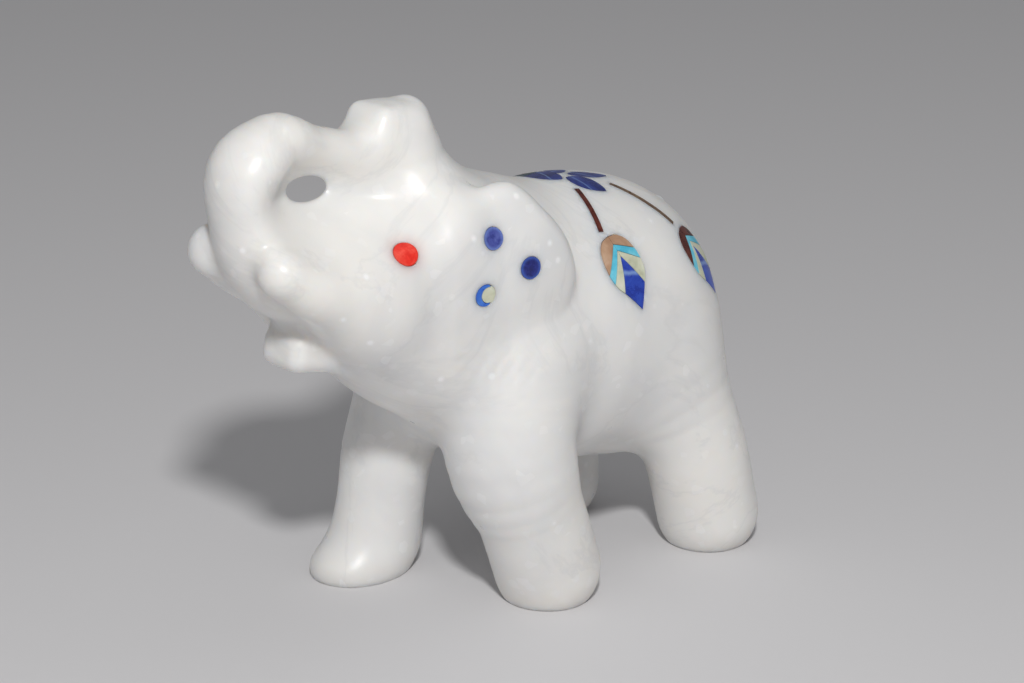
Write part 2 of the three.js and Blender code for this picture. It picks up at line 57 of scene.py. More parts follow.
# %% Curves through points
def spline(knots, steps, closed=False):
    """A smooth curve through the knots, with some steps from each knot to the next."""
    knots = np.array(knots, float)
    n = len(knots)
    if closed:
        ring = np.vstack([knots[-1:], knots, knots[:2]])
    else:
        ring = np.vstack([2 * knots[0] - knots[1], knots, 2 * knots[-1] - knots[-2]])
    points = []
    for i in range(n if closed else n - 1):
        p = ring[i:i + 4]
        d = np.maximum(np.linalg.norm(np.diff(p, axis=0), axis=1) ** 0.5, 1e-3)
        slope_in = (p[1] - p[0]) / d[0] - (p[2] - p[0]) / (d[0] + d[1]) + (p[2] - p[1]) / d[1]
        slope_out = (p[2] - p[1]) / d[1] - (p[3] - p[1]) / (d[1] + d[2]) + (p[3] - p[2]) / d[2]
        a, b = slope_in * d[1], slope_out * d[1]
        for t in np.arange(steps) / steps:
            points.append(p[1] + a * t + (3 * (p[2] - p[1]) - 2 * a - b) * t ** 2
                          + (2 * (p[1] - p[2]) + a + b) * t ** 3)
    if not closed:
        points.append(knots[-1])
    return np.array(points)


# %% Shapes: ellipsoid, limb, flap and block
def lay(along, facing):
    """The turn that lays a shape's z along one direction, with its y near another."""
    z = np.array(along, float) / np.linalg.norm(along)
    y = np.array(facing, float)
    y -= z * (y @ z)
    y /= np.linalg.norm(y)
    return np.stack([np.cross(y, z), y, z], axis=1)


def near(shape, centre, reach, margin):
    """The same shape, worked out only for points close to it, which is much quicker."""
    def culled(p):
        away = np.linalg.norm(p - centre, axis=1) - reach
        close = away < margin
        away[close] = shape(p[close])
        return away
    return culled


def ellipsoid(centre, radii, turn=None):
    centre, radii = np.array(centre, float), np.array(radii, float)

    def shape(p):
        q = p - centre
        if turn is not None:
            q = q @ turn
        q = q / radii
        k0 = np.sqrt((q * q).sum(1)) + 1e-9
        k1 = np.sqrt(((q / radii) ** 2).sum(1)) + 1e-9
        return k0 * (k0 - 1) / k1
    return shape


def limb(stations, wide=1.0, steps=5):
    """Round along a smooth path through (x, y, z, radius); wide stretches it across the body."""
    stations = np.array(stations, float)
    stretch = np.array([1, wide, 1])
    path = spline(stations[:, :3] / stretch, steps)
    t = np.linspace(0, len(stations) - 1, len(path))
    i = np.minimum(t.astype(int), len(stations) - 2)
    f = t - i
    radius = stations[i, 3] + (stations[i + 1, 3] - stations[i, 3]) * f * f * (3 - 2 * f)

    def shape(p):
        q = p / stretch
        best = np.full(len(q), np.inf)
        for a, b, ra, rb in zip(path, path[1:], radius, radius[1:]):
            d = b - a
            s = np.clip(((q - a) @ d) / (d @ d), 0, 1)
            e = q - a - s[:, None] * d
            best = np.minimum(best, np.sqrt((e * e).sum(1)) - ra - s * (rb - ra))
        return best
    middle = path.mean(0)
    reach = np.linalg.norm(path - middle, axis=1).max() * wide + radius.max() * wide
    return near(shape, middle * stretch, reach, 9)


def flap(centre, loop, half, bend, turn):
    """A plate with a round rim, bent back like a bowl's wall; the loop is its outline."""
    centre = np.array(centre, float)
    rim = spline(loop, 6, closed=True)
    reach = np.linalg.norm(rim, axis=1).max()
    soft = half * 0.95

    def shape(p):
        q = (p - centre) @ turn
        flat = q[:, [0, 2]]
        side = np.full(len(q), np.inf)
        inside = np.zeros(len(q), bool)
        for a, b in zip(np.roll(rim, 1, axis=0), rim):
            d, e = b - a, flat - a
            s = np.clip((e @ d) / (d @ d), 0, 1)
            side = np.minimum(side, ((e - s[:, None] * d) ** 2).sum(1))
            if a[1] != b[1]:
                over = (a[1] > flat[:, 1]) != (b[1] > flat[:, 1])
                inside ^= over & (e[:, 0] < e[:, 1] * d[0] / d[1])
        side = np.where(inside, -1, 1) * np.sqrt(side) + soft
        face = np.abs(q[:, 1] + (flat ** 2).sum(1) / (2 * bend)) - half + soft
        outside = np.hypot(np.maximum(side, 0), np.maximum(face, 0))
        return np.minimum(np.maximum(side, face), 0) + outside - soft
    return near(shape, centre, reach, 6)


def block(centre, half, soft, turn=np.eye(3)):
    centre, half = np.array(centre, float), np.array(half, float) - soft

    def shape(p):
        q = np.abs((p - centre) @ turn) - half
        return np.linalg.norm(np.maximum(q, 0), axis=1) + np.minimum(q.max(1), 0) - soft
    return shape


def mirrored(shape):
    return lambda p: shape(p * (1, -1, 1))


def blend(a, b, k):
    h = np.maximum(k - np.abs(a - b), 0) / k
    return np.minimum(a, b) - h * h * k * 0.25


def carve(a, b, k):
    return -blend(-a, b, k)


# %% [markdown]
# ## The elephant's forms
# The sizes are millimetres, from the point on the floor between the feet, with the head towards
# -x and the animal's left side towards -y. Big round forms come first, as a carver roughs them
# out: barrel, neck, head. Then come the limbs, the trunk that curls back to the brow, the ears
# as thin bent plates, and last the long bowl that is ground from each side to open the hole
# behind the trunk. On the right side the bowl runs on backwards as a hollow behind the brow.

# %% The elephant's forms
torso = [ellipsoid((0, 0, 30.8), (21, 15.6, 17.8)), ellipsoid((10, 0, 28.2), (13.1, 15.3, 16.7)),
         ellipsoid((-12, 0, 33.3), (13, 12.8, 15.5))]
neck = ellipsoid((-16, 0, 41), (12, 11.5, 10.4))
chest = ellipsoid((-22, 0, 32.6), (9, 10.8, 7.8))
legs = [
    limb([(-13, -7.5, 30, 8.5), (-15.2, -9.5, 20, 7.8), (-12.4, -10.4, 11, 6.5), (-9.4, -9.9, 3.8, 6.5)]),
    limb([(-13, 7.5, 29, 7), (-16.6, 10, 17, 5.7), (-17.6, 10.8, 9, 5.4), (-18, 11.3, 4.6, 5.6)]),
    limb([(10.5, -7, 27, 8.2), (14.6, -10.6, 15, 6.5), (17.6, -11.2, 4, 6.4)]),
    limb([(11, 7.5, 28, 8.5), (11, 10.3, 14, 6), (11, 10.3, 4, 6.3)]),
    ellipsoid((-21.2, 11.6, 0.8), (5.9, 5.4, 3.8)),
]
tail = limb([(19, 0, 41, 1.3), (22.2, 0.6, 35, 1.4), (23.7, 1.6, 28, 1.3), (22.7, 2.6, 21, 1.8)])
head = ellipsoid((-28, 0, 45), (10.5, 10.2, 9.5))
cheek = ellipsoid((-29.8, -5.4, 39.8), (8.2, 5.7, 6.9))
temple = ellipsoid((-22.5, -4.5, 47.2), (8.5, 7.2, 6.6))
throat = ellipsoid((-28.3, 0, 36.8), (8.8, 8.4, 5.8))
palate = ellipsoid((-35.6, 0, 39.5), (6, 4, 4))
trunk = limb([
    (-34, 0, 45.5, 7.5), (-39.8, 0, 45.2, 5.4), (-43.7, 0, 47.7, 4.7), (-45.7, 0, 52.3, 4.4),
    (-45.5, 0, 57.5, 4.9), (-42.4, 0, 60.1, 3.9), (-37, 0, 58.7, 3.1), (-31.4, 0, 56.2, 3.6),
], 1.12)
web = ellipsoid((-38, 0, 50.8), (9.5, 5.6, 8))
tip = limb([(-23.3, 0, 51, 6.5), (-23.7, 0, 55.5, 5.1), (-24.1, 0, 57.5, 4.6)])
sloping = lay((0.24, 0, 1), (0, 1, 0))
jaw = block((-35.2, 0, 35.1), (7.4, 3.4, 2.3), 1.7, sloping)
tip_lip = block((-25.9, 0.3, 59.1), (3.3, 3.4, 2.9), 1.4, sloping)
tip_finger = ellipsoid((-22, 0.2, 60.9), (1.3, 2.3, 1.5))
tusk = limb([(-34.5, -6, 41.8, 4.4), (-41, -6.5, 44.8, 3.7), (-46.1, -6, 48, 3.1)])
ear = flap((-20, -11.8, 43), [
    (-2.9, 10.3), (-6.9, 6.9), (-10.2, 2.5), (-11.4, -2.4), (-9.6, -5.8), (-4.7, -7.2),
    (-1.3, -9.6), (1.8, -11.8), (5, -11), (8, -4), (8, 3), (4, 8.5),
], 1.4, 20, lay((0, 0, 1), (-0.36, -0.9, 0.22)))
bowl = ellipsoid((-37.6, -14.2, 54.5), (11, 14.3, 5), lay((0.12, 0, 1), (0, 1, 0)))
hollow = ellipsoid((-28, 9.5, 51.2), (8, 6, 2.6), lay((0.45, 0, 1), (0, 1, 0)))


def elephant(p):
    """About how far each point is from the marble, in mm, negative inside it."""
    body = torso[0](p)
    for form in torso[1:]:
        body = blend(body, form(p), 4)
    for form in legs:
        body = blend(body, form(p), 3)
    body = blend(body, neck(p), 6)
    body = blend(body, chest(p), 4)
    body = blend(body, tail(p), 0.8)
    face = blend(head(p), trunk(p), 6)
    for form in (cheek, mirrored(cheek), temple, mirrored(temple)):
        face = blend(face, form(p), 4)
    face = blend(face, throat(p), 3)
    face = blend(face, palate(p), 1.5)
    face = blend(face, web(p), 3.5)
    end = blend(blend(tip(p), tip_lip(p), 2.5), tip_finger(p), 1.2)
    face = blend(face, end, 3.5)
    # The tusks stand crisp at their ends and melt into the cheeks at their roots
    root = np.clip((p[:, 0] + 47) / 9, 0, 1)
    for form in (tusk, mirrored(tusk)):
        face = blend(face, form(p), 1.4 + 3 * root)
    face = blend(face, jaw(p), 1.5)
    whole = blend(body, face, 5)
    # The ears melt into the head in front and stand clear of the neck behind
    front = np.clip((-19 - p[:, 0]) / 7, 0, 1)
    for form in (ear, mirrored(ear)):
        whole = blend(whole, form(p), 0.9 + 4.5 * front)
    # The left bowl has the softer rim
    for form, rounding in ((bowl, 4.5), (mirrored(bowl), 1.5), (hollow, 1.5)):
        whole = carve(whole, form(p), rounding)
    return whole


# %% [markdown]
# ## What the tools left
# A hand-carved form is never quite the formula. The polisher's belt leaves wide, shallow swells,
# the stretch under the ear keeps scratches that run along its edge, and the mouth was never
# polished at all. These are all small moves of the surface, so they are added to the formula, and
# the stones still sit flush in it.

# %% Swells, scratches and rough places
def waves(p, size, count, seed):
    """A smooth irregular value between about -1 and 1, from waves in all directions."""
    rng = np.random.default_rng(seed)
    total = np.zeros(len(p))
    for _ in range(count):
        way = rng.normal(size=3)
        way *= 2 * math.pi / (size * rng.uniform(0.7, 1.4) * np.linalg.norm(way))
        total += np.sin(p @ way + rng.uniform(0, 2 * math.pi))
    return total / math.sqrt(count)


def patch(p, centre, radii):
    """1 in the middle of a place, falling smoothly to 0 at its edge."""
    r = (((p - np.array(centre)) / np.array(radii)) ** 2).sum(1)
    return np.clip(1 - r, 0, 1) ** 1.5


def tool_marks(p):
    rise = 0.05 * waves(p, 13, 7, 1) + 0.012 * waves(p, 4, 7, 2)
    for side in (-1, 1):
        q = p * (1, -side, 1)
        under_ear = patch(q, (-19, -11.5, 33), (11, 7, 5))
        along = np.array([0.85, 0, 0.5])
        across = q - np.outer(q @ along, along)
        rise += under_ear * (0.07 * waves(across, 1.1, 6, 3) - 0.1)
        mouth = patch(q, (-37, -1, 38.8), (8, 8, 3.2))
        rise += mouth * 0.07 * waves(q, 1.6, 9, 4)
    return rise


def surface(p):
    return elephant(p) - tool_marks(p)


# %% [markdown]
# ## Growing a mesh over the formula
# The formula is sampled on a fine grid, and each grid cell that the surface crosses gets one
# point. Each grid edge that it crosses gets one quad between the four points round it. This gives
# a closed skin of even quads, which suits a polished carving better than long thin triangles.
# Most of space is far from the surface, so a coarse grid finds where the fine one is needed.

# %% Sampling the formula on a grid
CELL = 0.42
COARSE = 4
NEAR_SKIN = 1.7
low = np.array([-54.0, -20.16, -3.0])
blocks = np.array([50, 25, 43])


def finer(values, axis):
    """The same grid with COARSE times as many steps along one axis."""
    n = values.shape[axis]
    t = np.arange((n - 1) * COARSE + 1) / COARSE
    i = np.minimum(t.astype(int), n - 2)
    f = (t - i).reshape([-1 if q == axis else 1 for q in range(3)])
    return values.take(i, axis) * (1 - f) + values.take(i + 1, axis) * f


def grid_points(count, step):
    marks = [low[q] + step * np.arange(count[q]) for q in range(3)]
    return np.stack(np.meshgrid(*marks, indexing="ij"), -1).reshape(-1, 3)


rough = surface(grid_points(blocks, CELL * COARSE)).reshape(blocks)
values = rough
for axis in range(3):
    values = finer(values, axis)
band = np.flatnonzero(np.abs(values).ravel() < NEAR_SKIN)
fine_points = grid_points(values.shape, CELL)[band]
flat_values = values.ravel()
flat_values[band] = surface(fine_points)
values = flat_values.reshape(values.shape)
print("grid", values.shape, "worked out at", len(band), "points")


# %% One point a cell, one quad a crossed edge
def settle_squares(values):
    """Where a grid square's corners lie in and out by turns, the nearest changes sides."""
    for _ in range(4):
        changed = 0
        for q in range(3):
            r, s = (q + 1) % 3, (q + 2) % 3
            inside = values < 0
            shifted = {}
            for dr in (0, 1):
                for ds in (0, 1):
                    cut = [slice(None)] * 3
                    cut[r] = slice(dr, values.shape[r] - 1 + dr)
                    cut[s] = slice(ds, values.shape[s] - 1 + ds)
                    shifted[dr, ds] = inside[tuple(cut)]
            bad = ((shifted[0, 0] == shifted[1, 1]) & (shifted[1, 0] == shifted[0, 1])
                   & (shifted[0, 0] != shifted[1, 0]))
            for spot in np.argwhere(bad):
                corners = []
                for dr, ds in shifted:
                    c = spot.copy()
                    c[r] += dr
                    c[s] += ds
                    corners.append(tuple(c))
                least = min(corners, key=lambda c: abs(values[c]))
                values[least] *= -1
                changed += 1
        if not changed:
            return


def skin(values):
    """The points and quads of the surface where the values change sign."""
    inside = values < 0
    cells = tuple(n - 1 for n in values.shape)
    total = np.zeros(cells + (3,))
    count = np.zeros(cells, int)
    crossings = []
    for q in range(3):
        r, s = (q + 1) % 3, (q + 2) % 3
        lower = tuple(slice(None, -1) if w == q else slice(None) for w in range(3))
        upper = tuple(slice(1, None) if w == q else slice(None) for w in range(3))
        crossed = inside[lower] != inside[upper]
        share = np.where(crossed, values[lower] / np.where(crossed, values[lower] - values[upper], 1), 0)
        crossings.append((q, crossed, inside[lower]))
        for dr in (0, 1):
            for ds in (0, 1):
                cut = [slice(None)] * 3
                cut[r], cut[s] = slice(dr, cells[r] + dr), slice(ds, cells[s] + ds)
                hit = crossed[tuple(cut)]
                total[..., q] += share[tuple(cut)]
                total[..., r] += hit * dr
                total[..., s] += hit * ds
                count += hit
    active = np.argwhere(count > 0)
    number = np.full(cells, -1)
    number[tuple(active.T)] = np.arange(len(active))
    points = low + CELL * (active + total[tuple(active.T)] / count[tuple(active.T)][:, None])
    quads = []
    for q, crossed, out_first in crossings:
        r, s = (q + 1) % 3, (q + 2) % 3
        spots = np.argwhere(crossed)
        corners = []
        for back_r, back_s in ((0, 0), (1, 0), (1, 1), (0, 1)):
            c = spots.copy()
            c[:, r] -= back_r
            c[:, s] -= back_s
            corners.append(number[tuple(c.T)])
        ring = np.stack(corners, axis=1)
        forward = out_first[tuple(spots.T)]
        quads.append(np.where(forward[:, None], ring, ring[:, ::-1]))
    return points, np.vstack(quads)


def slope(p):
    """The value of the surface formula at each point, and the way in which it grows."""
    e = 0.02
    d = surface(p)
    steps = [(surface(p + e * np.eye(3)[q]) - d) / e for q in range(3)]
    return d, np.stack(steps, axis=1)


LONGEST_MOVE = 0.3
SLIDE = 0.6
settle_squares(values)
points, quads = skin(values)
ends = np.vstack([quads[:, [0, 1]], quads[:, [1, 2]], quads[:, [2, 3]], quads[:, [3, 0]]])
for turn in range(3):
    d, way = slope(points)
    square = np.maximum((way * way).sum(1), 1e-6)
    points -= (np.clip(d, -LONGEST_MOVE, LONGEST_MOVE) / square)[:, None] * way
    if turn == 2:
        break
    # Between two moves onto the surface, each point slides towards its neighbours' middle
    around = np.zeros_like(points)
    tally = np.zeros(len(points))
    for a, b in ((0, 1), (1, 0)):
        np.add.at(around, ends[:, a], points[ends[:, b]])
        np.add.at(tally, ends[:, a], 1)
    pull = SLIDE * (around / tally[:, None] - points)
    points += pull - ((pull * way).sum(1) / square)[:, None] * way
points[:, 2] = np.maximum(points[:, 2], 0)
print("skin:", len(points), "points,", 2 * len(quads), "triangles")


# %% [markdown]
# The feet are ground flat: every point below the floor was lifted onto it. The part's frame has
# its origin under the middle of the box, and the forms are drawn from between the feet, so
# everything moves over by that difference.

# %% The marble's skin as a mesh
MIDDLE = np.array([-13.05, -0.217, 0])


def placed(p):
    """Millimetres from between the feet, as metres in the part's frame."""
    return (np.asarray(p, float) - MIDDLE) * MM


def mesh_object(name, points, faces):
    mesh = bpy.data.meshes.new(name)
    mesh.from_pydata(placed(points).tolist(), [], faces if isinstance(faces, list) else faces.tolist())
    mesh.update()
    piece = bpy.data.objects.new(name, mesh)
    bpy.context.scene.collection.objects.link(piece)
    return piece


marble = mesh_object("carved_marble", points, quads)
print("marble box:", [tuple(round(v / MM, 2) for v in c) for c in marble.bound_box][::6])

# %% [markdown]
# ## Shader maths as plain expressions
# Node trees are easier to read as sums. `Wire` wraps a socket so that + - * / and abs add Math nodes,
# and `Nodes.put` makes any other node from its type, its settings and its inputs.

# %% Wires and nodes
class Wire:
    def __init__(self, tree, socket):
        self.tree = tree
        self.socket = socket

    def maths(self, operation, a, b):
        return Nodes(self.tree).put("ShaderNodeMath", {"operation": operation}, {0: a, 1: b})

    def __add__(self, other):
        return self.maths("ADD", self, other)

    def __sub__(self, other):
        return self.maths("SUBTRACT", self, other)

    def __mul__(self, other):
        return self.maths("MULTIPLY", self, other)

    def __truediv__(self, other):
        return self.maths("DIVIDE", self, other)

    def __rsub__(self, other):
        return self.maths("SUBTRACT", other, self)

    def __abs__(self):
        return self.maths("ABSOLUTE", self, 0.0)

    __radd__ = __add__
    __rmul__ = __mul__


class Nodes:
    def __init__(self, tree):
        self.tree = tree

    def feed(self, socket, value):
        if isinstance(value, Wire):
            self.tree.links.new(value.socket, socket)
        else:
            socket.default_value = value

    def put(self, kind, settings=None, inputs=None, output=0):
        """One node: its settings are set first, then its sockets take values or wires."""
        node = self.tree.nodes.new(kind)
        for name, value in (settings or {}).items():
            if name == "stops":
                ramp = node.color_ramp.elements
                while len(ramp) < len(value):
                    ramp.new(0.5)
                for stop, (place, colour) in zip(ramp, value):
                    stop.position = place
                    stop.color = (*colour, 1)
            else:
                setattr(node, name, value)
        for name, value in (inputs or {}).items():
            self.feed(node.inputs[name], value)
        return Wire(self.tree, node.outputs[output])


# %% [markdown]
# ## A bed for each stone
# A mason marks where a stone goes, then cuts a pocket square to the surface there. So each stone
# gets a bed: a flat frame that touches the surface, with its own left-right and up-down. The
# outlines are drawn flat in that frame, and a wrapping step lays them onto the curved marble.

# %% Beds on the marble
def seat(place):
    """The point of the surface next to a place, and the way out of the marble there."""
    p = np.array([place], float)
    for _ in range(12):
        d, way = slope(p)
        p = p - d[:, None] * way / (way * way).sum(1)[:, None]
    return p[0], way[0] / np.linalg.norm(way[0])


class Bed:
    """Its second axis runs towards another place, and its third one points outwards."""
    def __init__(self, centre, toward):
        self.origin, out = seat(centre)
        along = seat(toward)[0] - self.origin
        along -= out * (along @ out)
        along /= np.linalg.norm(along)
        self.axes = np.stack([np.cross(along, out), along, out], axis=1)

    def flat(self, place):
        """A place of the surface in the bed's own two sizes."""
        return ((seat(place)[0] - self.origin) @ self.axes)[:2]

    def points(self, outline, rise, side):
        sizes = np.column_stack([outline, np.full(len(outline), rise)])
        return (self.origin + sizes @ self.axes.T) * (1, side, 1)

    def out(self, side):
        return self.axes[:, 2] * (1, side, 1)


# %% [markdown]
# ## Wrapping an outline onto the marble
# All the stones are made by the same few steps, so Geometry Nodes do them: each point of a flat
# sheet is shot along the bed's axis onto the marble, lifted or lowered a little, and the sheet is
# pulled down into a chip with a flat back. A pocket is the same chip, a hair larger and taller.

# %% The wrapping tree
def wrapping_tree():
    tree = bpy.data.node_groups.new("wrap_on_marble", "GeometryNodeTree")
    inputs = {}
    for name, kind in (("Sheet", "Geometry"), ("Marble", "Object"), ("Outwards", "Vector"),
                       ("Rise", "Float"), ("Thickness", "Float"), ("Finish", "Material")):
        item = tree.interface.new_socket(name=name, in_out="INPUT", socket_type="NodeSocket" + kind)
        inputs[name] = item.identifier
    tree.interface.new_socket(name="Chip", in_out="OUTPUT", socket_type="NodeSocketGeometry")
    make = Nodes(tree)
    entry = tree.nodes.new("NodeGroupInput")
    given = {name: Wire(tree, entry.outputs[name]) for name in inputs}
    block_of_marble = make.put("GeometryNodeObjectInfo", {"transform_space": "ORIGINAL"},
                               {"Object": given["Marble"]}, "Geometry")
    here = make.put("GeometryNodeInputPosition")
    inwards = make.put("ShaderNodeVectorMath", {"operation": "SCALE"},
                       {0: given["Outwards"], "Scale": -1.0})
    touch = make.put("GeometryNodeRaycast", {}, {
        "Target Geometry": block_of_marble, "Source Position": here, "Ray Direction": inwards,
        "Ray Length": 0.02}, "Hit Position")
    lift = make.put("ShaderNodeVectorMath", {"operation": "SCALE"},
                    {0: given["Outwards"], "Scale": given["Rise"]})
    landed = make.put("ShaderNodeVectorMath", {"operation": "ADD"}, {0: touch, 1: lift})
    top = make.put("GeometryNodeSetPosition", {}, {"Geometry": given["Sheet"], "Position": landed})
    down = make.put("ShaderNodeVectorMath", {"operation": "SCALE"},
                    {0: given["Outwards"], "Scale": -1 * given["Thickness"]})
    back = make.put("GeometryNodeExtrudeMesh", {"mode": "FACES"},
                    {"Mesh": top, "Offset": down, "Offset Scale": 1.0, "Individual": False})
    turned = make.put("GeometryNodeFlipFaces", {}, {"Mesh": back})
    joint = tree.nodes.new("GeometryNodeJoinGeometry")
    tree.links.new(top.socket, joint.inputs[0])
    tree.links.new(turned.socket, joint.inputs[0])
    closed = make.put("GeometryNodeMergeByDistance", {},
                      {"Geometry": Wire(tree, joint.outputs[0]), "Distance": 1e-7})
    whole = make.put("GeometryNodeRealizeInstances", {}, {"Geometry": closed})
    painted = make.put("GeometryNodeSetMaterial", {}, {"Geometry": whole, "Material": given["Finish"]})
    leave = tree.nodes.new("NodeGroupOutput")
    tree.links.new(painted.socket, leave.inputs[0])
    return tree, inputs


wrap_tree, wrap_inputs = wrapping_tree()

# %% [markdown]
# A chip's flat sheet needs points inside it as well as round its edge, or it couldn't bend over
# the marble. The outline is divided finely, a hexagonal grid fills it, and Delaunay's method
# joins them into even triangles. The places in the bed are kept as an attribute named `lie`, so
# that a vein can run down a stone whichever way the stone is turned.

# %% Sheets and chips
SPACING = 0.3


def divided(outline, spacing):
    """The outline with no stretch longer than the spacing."""
    points = []
    for a, b in zip(outline, np.roll(outline, -1, axis=0)):
        n = max(1, math.ceil(np.linalg.norm(b - a) / spacing))
        points.extend(a + (b - a) * i / n for i in range(n))
    return np.array(points)


def grown(outline, by):
    """The outline moved outwards by a distance, or inwards by a negative one."""
    x, y = outline.T
    way = np.sign((x * np.roll(y, -1) - np.roll(x, -1) * y).sum())
    before, after = outline - np.roll(outline, 1, axis=0), np.roll(outline, -1, axis=0) - outline
    normals = []
    for d in (before, after):
        d = d / np.maximum(np.linalg.norm(d, axis=1), 1e-9)[:, None]
        normals.append(way * np.column_stack([d[:, 1], -d[:, 0]]))
    one, two = normals
    k = by / np.maximum(0.22, 1 + (one * two).sum(1))
    return outline + k[:, None] * (one + two)


def within(p, outline, clear):
    """Which points lie inside the outline, and clear of it by a distance."""
    inside = np.zeros(len(p), bool)
    nearest = np.full(len(p), np.inf)
    for a, b in zip(outline, np.roll(outline, -1, axis=0)):
        d, e = b - a, p - a
        s = np.clip((e @ d) / (d @ d), 0, 1)
        nearest = np.minimum(nearest, np.linalg.norm(e - s[:, None] * d, axis=1))
        if a[1] != b[1]:
            over = (a[1] > p[:, 1]) != (b[1] > p[:, 1])
            inside ^= over & (e[:, 0] < e[:, 1] * d[0] / d[1])
    return inside & (nearest > clear)


def sheet(outline):
    """A flat sheet inside the outline: its points, its triangles."""
    rim = divided(outline, SPACING)
    lowest, highest = rim.min(0), rim.max(0)
    rows = np.arange(lowest[1], highest[1], SPACING * 0.87)
    grid = [(x + (SPACING / 2 if i % 2 else 0), y) for i, y in enumerate(rows)
            for x in np.arange(lowest[0], highest[0], SPACING)]
    filling = np.array(grid)
    filling = filling[within(filling, rim, SPACING * 0.5)]
    every = np.vstack([rim, filling])
    n = len(rim)
    loop = list(range(n))
    if np.sign((rim[:, 0] * np.roll(rim[:, 1], -1) - np.roll(rim[:, 0], -1) * rim[:, 1]).sum()) < 0:
        loop.reverse()
    edges = [(loop[i], loop[(i + 1) % n]) for i in range(n)]
    made = delaunay_2d_cdt([Vector(v) for v in every], edges, [loop], 1, 1e-6)
    return np.array([tuple(v) for v in made[0]]), [list(f) for f in made[2]]


def wrapped(name, bed, outline, side, rise, thickness, finish=None, across=1):
    """A flat outline laid on the marble as a closed chip. side is 1 for left and -1 for right."""
    flat, faces = sheet(outline)
    if side < 0:
        faces = [f[::-1] for f in faces]
    piece = mesh_object(name, bed.points(flat, 4, side), faces)
    lie = piece.data.attributes.new("lie", "FLOAT_VECTOR", "POINT")
    sizes = np.column_stack([flat * (across, 1), np.zeros(len(flat))])
    lie.data.foreach_set("vector", sizes.ravel().astype(np.float32))
    wrap = piece.modifiers.new("wrap", "NODES")
    wrap.node_group = wrap_tree
    for key, value in (("Marble", marble), ("Outwards", bed.out(side)), ("Rise", rise * MM),
                       ("Thickness", thickness * MM), ("Finish", finish)):
        if value is not None:
            wrap[wrap_inputs[key]] = value if not isinstance(value, np.ndarray) else value.tolist()
    done = bpy.data.meshes.new_from_object(piece.evaluated_get(bpy.context.evaluated_depsgraph_get()))
    piece.modifiers.clear()
    piece.data = done
    done.name = name
    return piece


# %% [markdown]
# ## Marble
# White marble is never quite white. Light goes into it and comes out a few millimetres away,
# which softens every shadow: that is subsurface scattering. Inside there are cloudy patches, warm
# and cool, and a few grey veins. Crystal faces near the surface are bumped, and a few carry painted
# glints: small spots painted lighter and white. Polish makes it smooth, but the mouth and the
# stretch under the ear stayed matt. Round the mouth and jaw the marble has painted warm shade, and
# next to the floor a painted warm reflection, darker towards the floor. Round each red eye stone
# the marble has a painted red glow, standing in for the light that passes through the stone and
# spreads.

# %% The marble finish
EYE = [-31.6, -9.8, 48]


